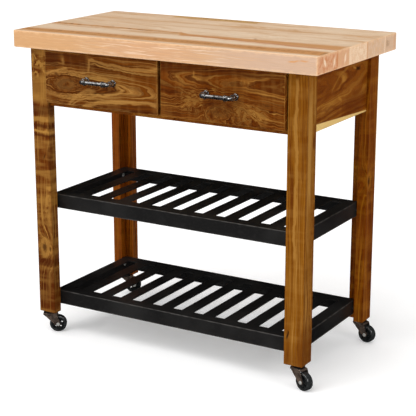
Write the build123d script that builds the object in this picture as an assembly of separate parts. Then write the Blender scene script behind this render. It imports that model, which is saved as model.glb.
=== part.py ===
from build123d import *
import math
import os

# Rolling kitchen island: a glued maple worktop on four L-section legs, two overlay drawers on
# ball slides, two slatted steel shelves and four swivelling stem casters.
# All sizes are in millimetres. Z is up, the drawers open towards -Y, z = 0 is the floor.

# Worktop
overall_height = 914.0
top_length = 958.0
top_depth = 508.0
top_thick = 48.0
top_corner_r = 7.0
top_edge_r = 2.5

# Legs, L-section posts with the open notch facing the middle of the cart
leg_side = 56.0
leg_wall = 29.0
leg_arris_r = 1.6
leg_foot_chamfer = 1.0
overhang_x = 39.0
overhang_y = 29.0

# Aprons and rails
apron_tall = 167.0
apron_thick = 20.0
apron_recess = 10.0
board_arris_r = 1.2
lower_rail_tall = 40.0
upper_rail_tall = 20.0
divider_wide = 40.0
runner_tall = 60.0
runner_drop = 81.0

# Blocks that hold the worktop down
block_wide = 28.0
block_long = 64.0
block_tall = 24.0
block_from_leg = 8.0
block_screw_d = 5.0
block_screw_head_d = 9.6
block_screw_head_tall = 3.2
block_screw_in_top = 26.0
block_screw_spacing = 36.0
hole_spare = 1.0

# Drawer fronts and boxes
front_thick = 20.0
front_proud = 11.0
front_side_gap = 2.6
front_middle_gap = 9.4
front_top_gap = 3.0
front_above_rail = 13.0
front_arris_r = 1.6
box_wall = 12.0
box_tall = 92.0
box_back_clear = 31.0
box_rise = 8.0
box_rebate = 6.0
bottom_thick = 6.0
bottom_up = 7.0
bottom_in_groove = 5.0
groove_clear = 0.15

# Ball slides, one each side of each drawer
slide_tall = 35.0
slide_thick = 12.7
slide_sheet = 1.2
slide_from_front = 24.0
slide_from_back = 6.0
slide_overlap = 90.0
stop_clear = 2.0
outer_lip = 10.0
inner_lip = 8.0
inner_tall = 22.0
cage_sheet = 0.8
cage_clear = 0.3
cage_lip = 8.0
balls_per_row = 3
ball_clear = 0.3

# Pipe pulls
pull_centres = 89.0
pull_standoff = 31.0
pipe_d = 11.5
pipe_bore_d = 8.0
elbow_d = 14.5
elbow_bend_r = 10.5
elbow_nose_long = 2.0
collar_d = 18.0
collar_wide = 4.6
collar_edge_r = 1.4
foot_d = 19.0
foot_thick = 4.2
bead_d = 16.4
bead_wide = 2.4
socket_deep = 6.0
socket_clear = 0.1
pull_screw_d = 4.0
pull_screw_head_d = 8.0
pull_screw_head_tall = 2.6
pull_screw_in_foot = 9.0
screw_clear = 0.3
screw_head_r = 1.3

# Steel shelves
shelf_inset_x = 33.0
shelf_inset_y = 36.0
shelf_face_tall = 42.0
shelf_flange = 38.0
shelf_sheet = 3.0
shelf_corner_r = 8.0
shelf_bend_r = 2.4
slat_wide = 38.0
slat_count = 10
middle_shelf_top_z = 430.0
lower_shelf_top_z = 131.0
shelf_screw_d = 4.6
shelf_screw_head_d = 10.0
shelf_screw_head_tall = 3.0
shelf_screw_in_leg = 20.0
shelf_screw_down = 24.0
shelf_screw_clear = 0.5
spacer_d = 12.0

# Stem casters
caster_height = 68.0
caster_inset = 21.0
caster_trail = 24.0
caster_turns = {"front_left": 32.0, "front_right": -20.0, "back_left": 49.0, "back_right": -9.0}
socket_d = 12.0
socket_wall = 1.8
socket_long = 40.0
socket_rim_d = 18.0
socket_rim_thick = 1.2
stem_clear = 0.05
stem_long = 36.0
race_d = 37.0
race_thick = 6.2
race_step_d = 30.0
kingpin_d = 7.0
kingpin_head_d = 14.0
kingpin_head_thick = 2.4
race_chamfer = 2.0
stem_point = 2.0
swivel_clear = 0.3
running_clear = 0.05
fork_front = 20.0
fork_back = 23.0
fork_sheet = 2.0
fork_skirt = 5.0
fork_edge_r = 2.6
fork_corner_r = 6.0
fork_cheek_inset = 2.5
fork_wheel_clear = 2.2
fork_boss_r = 7.0
fork_panel_deep = 0.8
fork_panel_margin = 3.2
fork_panel_drop = 1.5
fork_root = 2.4
axle_d = 6.0
axle_head_d = 10.0
axle_head_tall = 2.2
axle_head_r = 1.6
wheel_d = 51.0
wheel_wide = 20.0
tread_thick = 6.0
tread_shoulder_r = 4.0
hub_d = 14.0
hub_side_clear = 0.6
rim_thick = 2.6
rim_set_in = 1.5
draft = 0.9
web_thick = 7.0
web_hole_d = 6.0
web_holes = 5

# Places worked out from the sizes above
top_z = overall_height
top_under_z = overall_height - top_thick
leg_x = top_length / 2 - overhang_x
leg_y = top_depth / 2 - overhang_y
inner_x = leg_x - leg_side
apron_bottom_z = top_under_z - apron_tall
apron_out_x = leg_x - apron_recess
apron_in_x = apron_out_x - apron_thick
apron_out_y = leg_y - apron_recess
apron_in_y = apron_out_y - apron_thick
face_y = -leg_y - front_proud
front_back_y = face_y + front_thick
front_bottom_z = apron_bottom_z + front_above_rail
runner_centre_z = top_under_z - runner_drop
shelf_x = leg_x - shelf_inset_x
shelf_y = leg_y - shelf_inset_y
pull_out = pull_standoff + collar_d / 2
cart_y = max(0.0, front_proud + pull_out - overhang_y) / 2
axle_z = wheel_d / 2
box_in_x = divider_wide / 2 + slide_thick
box_out_x = inner_x - slide_thick
box_low_z = runner_centre_z + box_rise - box_tall / 2
box_long = apron_in_y - box_back_clear - front_back_y
slide_front_y = front_back_y + slide_from_front
slide_long = box_long - slide_from_front - slide_from_back
drawer_travel = slide_long - slide_overlap
cage_long = slide_overlap - slide_sheet - stop_clear
front_in_x = front_middle_gap / 2
front_out_x = inner_x - front_side_gap
front_top_z = top_under_z - front_top_gap
pull_x = (front_in_x + front_out_x) / 2
pull_z = (front_bottom_z + front_top_z) / 2
shelf_screw_from_corner = shelf_corner_r + shelf_screw_head_d / 2 + shelf_screw_clear
fork_half = wheel_wide / 2 + hub_side_clear + fork_wheel_clear


def block(x0, x1, y0, y1, z0, z1):
    """A square-edged board between two corners."""
    middle = Pos((x0 + x1) / 2, (y0 + y1) / 2, (z0 + z1) / 2)
    return middle * Box(abs(x1 - x0), abs(y1 - y0), abs(z1 - z0))


def rod(x, y, z, radius, length, axis):
    """A round bar that starts at a point and runs along X, Y or Z, backwards if its length is negative."""
    turn = {"X": Rot(0, 90, 0), "Y": Rot(-90, 0, 0), "Z": Rot(0, 0, 0)}[axis]
    shape = Pos(0, 0, length / 2) * Cylinder(radius, abs(length))
    return Pos(x, y, z) * turn * shape


def eased(board, radius):
    """A board with every edge rounded over a little."""
    return fillet(board.edges(), radius)


def save(name, *shapes):
    """Writes one node. Everything is drawn round the middle of the carcass and placed here."""
    solids = [solid for shape in shapes for solid in shape.solids()]
    placed = [Pos(0, cart_y, 0) * solid for solid in solids]
    export_step(placed[0] if len(placed) == 1 else Compound(children=placed), f"parts/{name}.step")


def other_side(shape):
    """The same piece on the right half of the cart."""
    return mirror(shape, about=Plane.YZ)


def other_end(shape):
    """The same piece on the back half of the cart."""
    return mirror(shape, about=Plane.XZ)


def worktop():
    """Glued block with small round corners, its edges eased and screw holes below."""
    slab = block(-top_length / 2, top_length / 2, -top_depth / 2, top_depth / 2, top_under_z, top_z)
    slab = fillet(slab.edges().filter_by(Axis.Z), top_corner_r)
    rims = slab.faces().sort_by(Axis.Z)[0].edges() + slab.faces().sort_by(Axis.Z)[-1].edges()
    slab = fillet(rims, top_edge_r)
    for x, y in block_screw_places():
        slab -= rod(x, y, top_under_z, block_screw_d / 2, block_screw_in_top, "Z")
    return slab


def block_middle():
    """Middle of the front left fixing block, in plan."""
    x = -apron_in_x + block_wide / 2
    y = -leg_y + leg_side + block_from_leg + block_long / 2
    return x, y


def block_screw_places():
    """Each fixing block has two screws up into the worktop."""
    x, y = block_middle()
    half = block_screw_spacing / 2
    return [(sx * x, sy * (y + d)) for sx in (1, -1) for sy in (1, -1) for d in (-half, half)]


def top_fixing_blocks():
    """Four hardwood blocks in the corners under the worktop."""
    x, y = block_middle()
    low = top_under_z - block_tall
    piece = Pos(x, y, low + block_tall / 2) * Box(block_wide, block_long, block_tall)
    piece = eased(piece, board_arris_r)
    for d in (-block_screw_spacing / 2, block_screw_spacing / 2):
        piece -= rod(x, y + d, low, block_screw_d / 2 + screw_clear, block_tall, "Z")
    row = [piece, other_end(piece)]
    return row + [other_side(one) for one in row]


def block_screws():
    """Round-headed screws that hold the worktop to the blocks."""
    low = top_under_z - block_tall
    screws = []
    for x, y in block_screw_places():
        head = rod(x, y, low, block_screw_head_d / 2, -block_screw_head_tall, "Z")
        head = fillet(head.edges().sort_by(Axis.Z)[0], screw_head_r)
        shank_long = block_tall + block_screw_in_top - hole_spare
        screws.append(head + rod(x, y, low, block_screw_d / 2, shank_long, "Z"))
    return screws


def caster_place(corner):
    """Swivel axis of a caster, in plan."""
    x = leg_x - caster_inset
    y = leg_y - caster_inset
    return (x if "right" in corner else -x), (y if "back" in corner else -y)


def front_left_leg():
    """L-section post, full height, with a stem socket hole below and shelf screw holes inside."""
    x, y = -leg_x, -leg_y
    corners = [
        (x, y), (x + leg_side, y), (x + leg_side, y + leg_wall),
        (x + leg_wall, y + leg_wall), (x + leg_wall, y + leg_side), (x, y + leg_side),
    ]
    section = make_face(Polyline(*corners, close=True))
    post = Pos(0, 0, caster_height) * extrude(section, top_under_z - caster_height)
    upright = post.edges().filter_by(Axis.Z)
    outer = [edge for edge in upright if min(edge.center().X - x, edge.center().Y - y) < leg_wall / 2]
    post = fillet(outer, leg_arris_r)
    post = chamfer(post.faces().sort_by(Axis.Z)[0].outer_wire().edges(), leg_foot_chamfer)
    cx, cy = caster_place("front_left")
    post -= rod(cx, cy, caster_height, socket_d / 2, socket_long, "Z")
    for shelf_top in (middle_shelf_top_z, lower_shelf_top_z):
        sy = -shelf_y + shelf_screw_from_corner
        sz = shelf_top - shelf_screw_down
        post -= rod(x + leg_wall, sy, sz, shelf_screw_d / 2, -shelf_screw_in_leg, "X")
    return post


def side_apron():
    """Wide board let in between the front and back legs, on the left."""
    board = block(
        -apron_out_x, -apron_in_x, -leg_y + leg_side, leg_y - leg_side, apron_bottom_z, top_under_z
    )
    return eased(board, board_arris_r)


def back_apron():
    """Wide board between the back legs."""
    board = block(-inner_x, inner_x, apron_in_y, apron_out_y, apron_bottom_z, top_under_z)
    return eased(board, board_arris_r)


def front_lower_rail():
    """Rail under the drawers, standing just behind their fronts."""
    board = block(
        -inner_x, inner_x, -apron_out_y, -apron_in_y, apron_bottom_z, apron_bottom_z + lower_rail_tall
    )
    return eased(board, board_arris_r)


def front_upper_rail():
    """Rail above the drawers, against the underside of the worktop."""
    return block(-inner_x, inner_x, -apron_out_y, -apron_in_y, top_under_z - upper_rail_tall, top_under_z)


def drawer_divider():
    """Short upright between the two rails, seen as the dark line between the drawer fronts."""
    half = divider_wide / 2
    low = apron_bottom_z + lower_rail_tall
    return block(-half, half, -apron_out_y, -apron_in_y, low, top_under_z - upper_rail_tall)


def centre_runner_beam():
    """Beam from the divider to the back apron that carries a slide on each face."""
    half = divider_wide / 2
    low = runner_centre_z - runner_tall / 2
    return block(-half, half, -apron_in_y, apron_in_y, low, low + runner_tall)


def side_runner_batten():
    """Packing batten that brings the left slide out to the line of the leg's inner edge."""
    low = runner_centre_z - runner_tall / 2
    return block(-apron_in_x, -inner_x, -leg_y + leg_wall, leg_y - leg_wall, low, low + runner_tall)


def channel(depth, tall, sheet):
    """Points of a channel whose web stands at x = 0 and whose lips reach out to x = depth."""
    half = tall / 2
    return [
        (0, -half), (depth, -half), (depth, -half + sheet), (sheet, -half + sheet),
        (sheet, half - sheet), (depth, half - sheet), (depth, half), (0, half),
    ]


def swept(points, start_y, length):
    """A section in X and Z pushed back along +Y from start_y."""
    face = make_face(Polyline(*[(x, 0, z) for x, z in points], close=True))
    return Pos(0, start_y, runner_centre_z) * extrude(face, length, dir=(0, 1, 0))


def cabinet_slide():
    """Outer channel, its web on a face that looks along +X, at x = 0."""
    shape = swept(channel(outer_lip, slide_tall, slide_sheet), slide_front_y, slide_long)
    stop = block(
        slide_sheet, outer_lip, slide_front_y + slide_long - slide_sheet, slide_front_y + slide_long,
        runner_centre_z - slide_tall / 2 + slide_sheet, runner_centre_z + slide_tall / 2 - slide_sheet,
    )
    return shape + stop


def drawer_slide():
    """Inner channel, turned to face the outer one, its web on the drawer side at x = slide_thick."""
    points = [(slide_thick - x, z) for x, z in channel(slide_sheet + inner_lip, inner_tall, slide_sheet)]
    return swept(points, slide_front_y, slide_long - slide_sheet - stop_clear)


def ball_cage():
    """Thin channel that keeps two rows of balls between the lips of the two slide members."""
    row_z = (slide_tall / 2 - slide_sheet + inner_tall / 2) / 2
    tall = 2 * row_z + cage_sheet
    web_x = slide_sheet + cage_clear
    start = slide_front_y + drawer_travel / 2
    cage = Pos(web_x, 0, 0) * swept(channel(cage_lip, tall, cage_sheet), start, cage_long)
    ball_r = (slide_tall / 2 - slide_sheet - inner_tall / 2) / 2 - ball_clear
    ball_x = web_x + cage_lip / 2 + cage_sheet
    balls = []
    for side in (-1, 1):
        for k in range(balls_per_row):
            y = start + cage_long * (k + 0.5) / balls_per_row
            z = runner_centre_z + side * row_z
            cage -= rod(ball_x, y, z - cage_sheet, ball_r + ball_clear, 2 * cage_sheet, "Z")
            balls.append(Pos(ball_x, y, z) * Sphere(ball_r))
    return [cage] + balls


def at_outer_slide(shape):
    """A slide piece on the left batten of the left drawer."""
    return Pos(-inner_x, 0, 0) * shape


def at_inner_slide(shape):
    """A slide piece on the left face of the middle beam."""
    return Pos(-divider_wide / 2, 0, 0) * mirror(shape, about=Plane.YZ)


def drawer_front():
    """Applied front of the left drawer, eased all round, drilled for the pull."""
    board = block(-front_out_x, -front_in_x, face_y, front_back_y, front_bottom_z, front_top_z)
    board = eased(board, front_arris_r)
    return board - pull_screw_holes(face_y, front_thick)


def pull_screw_holes(y, depth):
    """Two clearance holes for the screws of the left pull."""
    radius = pull_screw_d / 2 + screw_clear
    left = rod(-pull_x - pull_centres / 2, y, pull_z, radius, depth, "Y")
    return left + rod(-pull_x + pull_centres / 2, y, pull_z, radius, depth, "Y")


def box_side():
    """Left side of the left drawer box: rebated at both ends, grooved for the bottom."""
    x0, x1 = -box_out_x, -box_out_x + box_wall
    y0, y1 = front_back_y, front_back_y + box_long
    side = block(x0, x1, y0, y1, box_low_z, box_low_z + box_tall)
    side -= block(x1 - box_rebate, x1, y0, y0 + box_wall, box_low_z, box_low_z + box_tall)
    side -= block(x1 - box_rebate, x1, y1 - box_wall, y1, box_low_z, box_low_z + box_tall)
    return side - bottom_panel(groove_clear)


def box_middle_x():
    """Middle of the left drawer box."""
    return -(box_in_x + box_out_x) / 2


def box_end(y):
    """Front or back of the left drawer box, let into the rebates of its sides."""
    reach = (box_out_x - box_in_x) / 2 - box_wall + box_rebate
    x = box_middle_x()
    board = block(x - reach, x + reach, y, y + box_wall, box_low_z, box_low_z + box_tall)
    return board - bottom_panel(groove_clear)


def box_front():
    """Inner front of the box, behind the applied front, drilled for the pull screws."""
    return box_end(front_back_y) - pull_screw_holes(front_back_y, box_wall)


def bottom_panel(clear=0.0):
    """Thin bottom held in grooves on all four walls."""
    half = (box_out_x - box_in_x) / 2 - box_wall + bottom_in_groove + clear
    x = box_middle_x()
    y0 = front_back_y + box_wall - bottom_in_groove - clear
    y1 = front_back_y + box_long - box_wall + bottom_in_groove + clear
    z = box_low_z + bottom_up
    return block(x - half, x + half, y0, y1, z - clear, z + bottom_thick + clear)


def pull_elbow():
    """Left elbow of a pipe pull, its foot on the drawer face at the origin, bending towards +X.

    A round foot, a plain neck with a bead, a quarter bend and a beaded collar that takes the pipe.
    """
    out = pull_standoff
    bend_start = out - elbow_bend_r
    collar_start = pull_collar_x()
    section = Pos(0, -bend_start, 0) * Rot(90, 0, 0) * Circle(elbow_d / 2)
    bend = revolve(section, Axis((elbow_bend_r, -bend_start, 0), (0, 0, 1)), 90)
    neck = rod(0, 0, 0, elbow_d / 2, -bend_start, "Y")
    nose = rod(elbow_bend_r, -out, 0, elbow_d / 2, collar_start - elbow_bend_r, "X")
    foot = ring_along_y(0, foot_thick, foot_d)
    bead = ring_along_y(-bend_start + bead_wide, bead_wide, bead_d)
    collar = fillet(rod(collar_start, -out, 0, collar_d / 2, collar_wide, "X").edges(), collar_edge_r)
    upright = neck + foot + bead
    arm = bend + nose + collar
    body = upright + arm
    end = collar_start + collar_wide
    body -= rod(end, -out, 0, pipe_d / 2 + socket_clear, -socket_deep, "X")
    return body - rod(0, 0, 0, pull_screw_d / 2, -pull_screw_in_foot - hole_spare, "Y")


def ring_along_y(y, wide, diameter):
    """A rounded collar that starts at y and stands out towards -Y."""
    return fillet(rod(0, y, 0, diameter / 2, -wide, "Y").edges(), wide / 3)


def pull_collar_x():
    """Where the collar starts, measured from the foot's centre along the pull."""
    return elbow_bend_r + elbow_nose_long


def pull_pipe():
    """Straight pipe between the two collars, centred at the origin along X."""
    half = pull_centres / 2 - pull_collar_x() - collar_wide + socket_deep - socket_clear
    pipe = rod(-half, 0, 0, pipe_d / 2, 2 * half, "X")
    return pipe - rod(-half, 0, 0, pipe_bore_d / 2, 2 * half, "X")


def pull_elbows():
    """Both elbows of the left drawer's pull."""
    left = Pos(-pull_x - pull_centres / 2, face_y, pull_z) * pull_elbow()
    right = Pos(-pull_x + pull_centres / 2, face_y, pull_z) * other_side(pull_elbow())
    return [left, right]


def pull_screws():
    """Screws from inside the box, through both fronts, into the feet of the elbows."""
    head_y = front_back_y + box_wall
    reach = head_y - face_y + pull_screw_in_foot
    screws = []
    for x in (-pull_x - pull_centres / 2, -pull_x + pull_centres / 2):
        head = rod(x, head_y, pull_z, pull_screw_head_d / 2, pull_screw_head_tall, "Y")
        head = fillet(head.edges().sort_by(Axis.Y)[-1], screw_head_r)
        screws.append(head + rod(x, head_y, pull_z, pull_screw_d / 2, -reach, "Y"))
    return screws


def shelf_frame(top):
    """Four mitred angles: flat flanges on top, legs turned down at the outer edge."""
    low = top - shelf_face_tall
    frame = block(-shelf_x, shelf_x, -shelf_y, shelf_y, low, top)
    frame = fillet(frame.edges().filter_by(Axis.Z), shelf_corner_r)
    frame = fillet(frame.faces().sort_by(Axis.Z)[-1].edges(), shelf_bend_r)
    inner_x0 = shelf_x - shelf_sheet
    inner_y0 = shelf_y - shelf_sheet
    hollow = block(-inner_x0, inner_x0, -inner_y0, inner_y0, low, top - shelf_sheet)
    frame -= fillet(hollow.edges().filter_by(Axis.Z), shelf_corner_r - shelf_sheet)
    open_x = shelf_x - shelf_flange
    open_y = shelf_y - shelf_flange
    frame -= block(-open_x, open_x, -open_y, open_y, low, top)
    for sx in (-1, 1):
        for sy in (-1, 1):
            y = sy * (shelf_y - shelf_screw_from_corner)
            hole = shelf_screw_d / 2 + screw_clear
            frame -= rod(sx * shelf_x, y, top - shelf_screw_down, hole, -sx * shelf_sheet, "X")
    return [piece & frame for piece in mitre_wedges(low, top)]


def mitre_wedges(low, top):
    """Four prisms, split along the 45 degree lines from the shelf's corners."""
    x, y = shelf_x, shelf_y
    ridge = x - y
    front = [(-x, -y), (x, -y), (ridge, 0), (-ridge, 0)]
    right = [(x, -y), (x, y), (ridge, 0)]
    faces = [Pos(0, 0, low) * make_face(Polyline(*outline, close=True)) for outline in (front, right)]
    wedges = [extrude(face, top - low) for face in faces]
    return wedges + [other_end(wedges[0]), other_side(wedges[1])]


def shelf_slats(top):
    """Flat bars, front to back, welded flush between the flanges."""
    open_x = shelf_x - shelf_flange
    open_y = shelf_y - shelf_flange
    gap = (2 * open_x - slat_count * slat_wide) / (slat_count + 1)
    slats = []
    for k in range(slat_count):
        x0 = -open_x + gap + k * (slat_wide + gap)
        slats.append(block(x0, x0 + slat_wide, -open_y, open_y, top - shelf_sheet, top))
    return slats


def shelf_fixings(top):
    """One screw and one spacer ring at the left end of the front of a shelf."""
    y = -shelf_y + shelf_screw_from_corner
    z = top - shelf_screw_down
    gap = shelf_inset_x - leg_wall
    spacer = rod(-shelf_x - gap, y, z, spacer_d / 2, gap, "X")
    spacer -= rod(-shelf_x - gap, y, z, shelf_screw_d / 2 + screw_clear, gap, "X")
    head_x = -shelf_x + shelf_sheet
    head = rod(head_x, y, z, shelf_screw_head_d / 2, shelf_screw_head_tall, "X")
    head = fillet(head.edges().sort_by(Axis.X)[-1], screw_head_r)
    shank = rod(head_x, y, z, shelf_screw_d / 2, -(shelf_sheet + gap + shelf_screw_in_leg - hole_spare), "X")
    return head + shank, spacer


def four_corners(shape):
    """The same piece in all four corners."""
    row = [shape, other_end(shape)]
    return row + [other_side(one) for one in row]


def caster_socket():
    """Sleeve pressed into the bottom of a leg, its rim against the leg."""
    radius = socket_d / 2
    sleeve = rod(0, 0, caster_height, radius, socket_long, "Z")
    sleeve += rod(0, 0, caster_height - socket_rim_thick, socket_rim_d / 2, socket_rim_thick, "Z")
    return sleeve - rod(0, 0, caster_height - socket_rim_thick, radius - socket_wall, socket_long, "Z")


def caster_stem():
    """Stem, upper race and kingpin in one: it stays with the leg while the fork turns round it."""
    top = caster_height - socket_rim_thick
    bore = socket_d / 2 - socket_wall - stem_clear
    web_top = race_under_z() - swivel_clear
    web_low = web_top - fork_sheet
    head_top = web_low - swivel_clear
    head_low = head_top - kingpin_head_thick
    half = kingpin_d / 2
    outline = [
        (0, head_low), (kingpin_head_d / 2, head_low), (kingpin_head_d / 2, head_top), (half, head_top),
        (half, race_under_z()), (race_step_d / 2, race_under_z()),
        (race_d / 2, race_under_z() + race_chamfer),
        (race_d / 2, top), (bore, top), (bore, top + stem_long - stem_point),
        (bore - stem_point / 2, top + stem_long), (0, top + stem_long),
    ]
    return revolve(make_face(Polyline(*[(x, 0, z) for x, z in outline], close=True)), Axis.Z)


def race_under_z():
    """Underside of the fixed upper race."""
    return caster_height - socket_rim_thick - race_thick


def caster_fork():
    """Pressed fork: a dished rectangular head with two cheeks that trail to the axle, each with a sunk panel.

    Its swivel axis is at the origin and it trails towards +X.
    """
    web_top = race_under_z() - swivel_clear
    fork = fork_head(0.0, web_top) - fork_head(fork_sheet, web_top - fork_sheet)
    skirt_low = web_top - fork_skirt
    cheek = fork_cheek(web_top - fork_edge_r, 0.0)
    panel = fork_cheek(skirt_low - fork_panel_drop, fork_panel_margin)
    for side in (-1, 1):
        plate = extrude(cheek, fork_sheet, dir=(0, side, 0))
        fork += Pos(0, side * fork_half, 0) * plate
        pressed = extrude(panel, fork_sheet, dir=(0, side, 0))
        fork -= Pos(0, side * (fork_half + fork_sheet - fork_panel_deep), 0) * pressed
    fork -= rod(0, 0, skirt_low, kingpin_d / 2 + running_clear, 2 * fork_skirt, "Z")
    reach = fork_half + 2 * fork_sheet
    return fork - rod(caster_trail, -reach, axle_z, axle_d / 2, 2 * reach, "Y")


def fork_head(inset, top):
    """Rounded block that the pressed head fills, or its hollow where an inset is given."""
    half = fork_half + fork_sheet - inset
    low = race_under_z() - swivel_clear - fork_skirt
    head = block(-fork_front + inset, fork_back - inset, -half, half, low, top)
    head = fillet(head.edges().filter_by(Axis.Z), fork_corner_r - inset)
    return fillet(head.faces().sort_by(Axis.Z)[-1].edges(), fork_edge_r - inset / 2)


def fork_cheek(top, margin):
    """Outline of a cheek in X and Z: a round boss at the axle, drawn out to a wide root under the head."""
    radius = fork_boss_r - margin
    front = -fork_front + fork_cheek_inset + margin
    back = fork_back - fork_cheek_inset - margin
    knee = Vector(front, 0, top - fork_root)
    boss = Vector(caster_trail, 0, axle_z)
    low = boss_tangent(boss, knee, radius, 1)
    high = boss_tangent(boss, Vector(back, 0, top), radius, -1)
    under = boss + Vector(0, 0, -radius)
    edge = Polyline(low, knee, (front, 0, top), (back, 0, top), high)
    return make_face(edge + ThreePointArc(high, under, low))


def boss_tangent(boss, point, radius, side):
    """Where the straight line from a point touches the boss circle, on one side of it."""
    away = point - boss
    turn = math.atan2(away.Z, away.X) + side * math.acos(radius / away.length)
    return boss + Vector(radius * math.cos(turn), 0, radius * math.sin(turn))


def caster_axle():
    """Riveted axle through the cheeks and the hub, with a domed head at each end."""
    half = fork_half + fork_sheet
    axle = rod(caster_trail, -half, axle_z, axle_d / 2, 2 * half, "Y")
    for side in (-1, 1):
        head = rod(caster_trail, side * half, axle_z, axle_head_d / 2, side * axle_head_tall, "Y")
        rim = head.edges().sort_by(Axis.Y)[-1 if side > 0 else 0]
        axle += fillet(rim, axle_head_r)
    return axle


def wheel_core():
    """Wheel centre: hub, thin web with a ring of holes and the rim that the tread sits on."""
    half = wheel_wide / 2
    hub_half = half + hub_side_clear
    rim_out = wheel_d / 2 - tread_thick
    rim_in = rim_out - rim_thick
    bore = axle_d / 2 + running_clear
    web = web_thick / 2
    hub = hub_d / 2
    rim_half = half - rim_set_in
    outline = [
        (bore, -hub_half), (hub - draft, -hub_half), (hub, -web), (rim_in, -web), (rim_in + draft, -rim_half),
        (rim_out, -rim_half), (rim_out, rim_half), (rim_in + draft, rim_half), (rim_in, web), (hub, web),
        (hub - draft, hub_half), (bore, hub_half),
    ]
    core = revolve(make_face(Polyline(*[(x, y, 0) for x, y in outline], close=True)), Axis.Y)
    ring = (hub + rim_in) / 2
    for k in range(web_holes):
        turn = math.radians(90 + 360 * k / web_holes)
        x, z = ring * math.cos(turn), ring * math.sin(turn)
        core -= rod(x, -web_thick, z, web_hole_d / 2, 2 * web_thick, "Y")
    return Pos(caster_trail, 0, axle_z) * core


def wheel_tread():
    """Crowned tread ring moulded on the rim."""
    half = wheel_wide / 2
    inner = wheel_d / 2 - tread_thick
    ring = Rot(90, 0, 0) * Cylinder(wheel_d / 2, wheel_wide)
    ring = fillet(ring.edges(), tread_shoulder_r)
    ring -= Rot(90, 0, 0) * Cylinder(inner, 2 * half)
    return Pos(caster_trail, 0, axle_z) * ring


def placed_caster(shape, corner):
    """A caster piece turned to its rest angle and moved under its leg."""
    x, y = caster_place(corner)
    return Pos(x, y, 0) * Rot(0, 0, caster_turns[corner]) * shape


def write_carcass():
    """Worktop, legs, aprons, rails, runners and their fixings."""
    save("butcher_block_top", worktop())
    save("top_fixing_blocks", *top_fixing_blocks())
    save("top_fixing_screws", *block_screws())
    leg = front_left_leg()
    save("leg_front_left", leg)
    save("leg_front_right", other_side(leg))
    save("leg_back_left", other_end(leg))
    save("leg_back_right", other_end(other_side(leg)))
    save("side_apron_left", side_apron())
    save("side_apron_right", other_side(side_apron()))
    save("back_apron", back_apron())
    save("front_lower_rail", front_lower_rail())
    save("front_upper_rail", front_upper_rail())
    save("drawer_divider", drawer_divider())
    save("centre_runner_beam", centre_runner_beam())
    save("side_runner_battens", side_runner_batten(), other_side(side_runner_batten()))
    outer = [at_outer_slide(cabinet_slide()), at_inner_slide(cabinet_slide())]
    save("cabinet_slides", *outer, *[other_side(one) for one in outer])


def write_drawers():
    """Two mirrored drawers with their slides, ball cages and pulls."""
    box_back_y = front_back_y + box_long - box_wall
    side = box_side()
    far_side = Pos(2 * box_middle_x(), 0, 0) * mirror(side, about=Plane.YZ)
    pipe = Pos(-pull_x, face_y - pull_standoff, pull_z) * pull_pipe()
    pieces = {
        "drawer_front": [drawer_front()],
        "drawer_box_front": [box_front()],
        "drawer_box_back": [box_end(box_back_y)],
        "drawer_box_sides": [side, far_side],
        "drawer_bottom": [bottom_panel()],
        "drawer_slides": [at_outer_slide(drawer_slide()), at_inner_slide(drawer_slide())],
        "ball_cages": [one for place in (at_outer_slide, at_inner_slide) for one in map(place, ball_cage())],
        "pull_pipe": [pipe],
        "pull_elbows": pull_elbows(),
        "pull_screws": pull_screws(),
    }
    for name, shapes in pieces.items():
        save(f"left_{name}", *shapes)
        save(f"right_{name}", *[other_side(one) for one in shapes])


def write_shelves():
    """Two alike shelves and the screws and spacers that hold them between the legs."""
    screws, spacers = [], []
    for name, top in (("middle", middle_shelf_top_z), ("lower", lower_shelf_top_z)):
        save(f"{name}_shelf_frame", *shelf_frame(top))
        save(f"{name}_shelf_slats", *shelf_slats(top))
        screw, spacer = shelf_fixings(top)
        screws += four_corners(screw)
        spacers += four_corners(spacer)
    save("shelf_screws", *screws)
    save("shelf_spacers", *spacers)


def write_casters():
    """Four alike casters, each turned its own way."""
    places = list(caster_turns)
    save("caster_sockets", *[placed_caster(caster_socket(), corner) for corner in places])
    save("caster_stems", *[placed_caster(caster_stem(), corner) for corner in places])
    moving = {
        "caster_fork": caster_fork(),
        "caster_axle": caster_axle(),
        "caster_wheel": wheel_core(),
        "caster_tread": wheel_tread(),
    }
    for corner in places:
        for name, shape in moving.items():
            save(f"{name}_{corner}", placed_caster(shape, corner))


os.makedirs("parts", exist_ok=True)
write_carcass()
write_drawers()
write_shelves()
write_casters()
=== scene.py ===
import math

import bpy
import numpy as np
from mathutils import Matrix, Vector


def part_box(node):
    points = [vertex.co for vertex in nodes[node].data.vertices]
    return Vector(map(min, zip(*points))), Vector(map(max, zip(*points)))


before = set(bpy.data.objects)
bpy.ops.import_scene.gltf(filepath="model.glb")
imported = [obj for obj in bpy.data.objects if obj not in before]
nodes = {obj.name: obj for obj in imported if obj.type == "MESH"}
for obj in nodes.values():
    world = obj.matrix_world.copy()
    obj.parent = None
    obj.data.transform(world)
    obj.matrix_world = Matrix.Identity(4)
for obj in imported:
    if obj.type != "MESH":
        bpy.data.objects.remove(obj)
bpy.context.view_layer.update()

# Camera. It stands to the right of the cart, in front of the drawers and above the worktop, and
# looks down without any shift, so that the cart stays in the middle of every other view too.
photo_width = 416.0
sensor_width = 36.0
camera_reach = 1295.3
camera_place = (1.866, -3.120, 1.421)
camera_pitch = math.radians(15.7)
camera_turn = math.radians(30.6)

camera_data = bpy.data.cameras.new("camera")
camera_data.sensor_width = sensor_width
camera_data.lens = camera_reach / photo_width * sensor_width
camera = bpy.data.objects.new("camera", camera_data)
camera.location = camera_place
camera.rotation_euler = (math.pi / 2 - camera_pitch, 0.0, camera_turn)
scene = bpy.context.scene
scene.collection.objects.link(camera)
scene.camera = camera
scene.view_settings.view_transform = "Standard"

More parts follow.
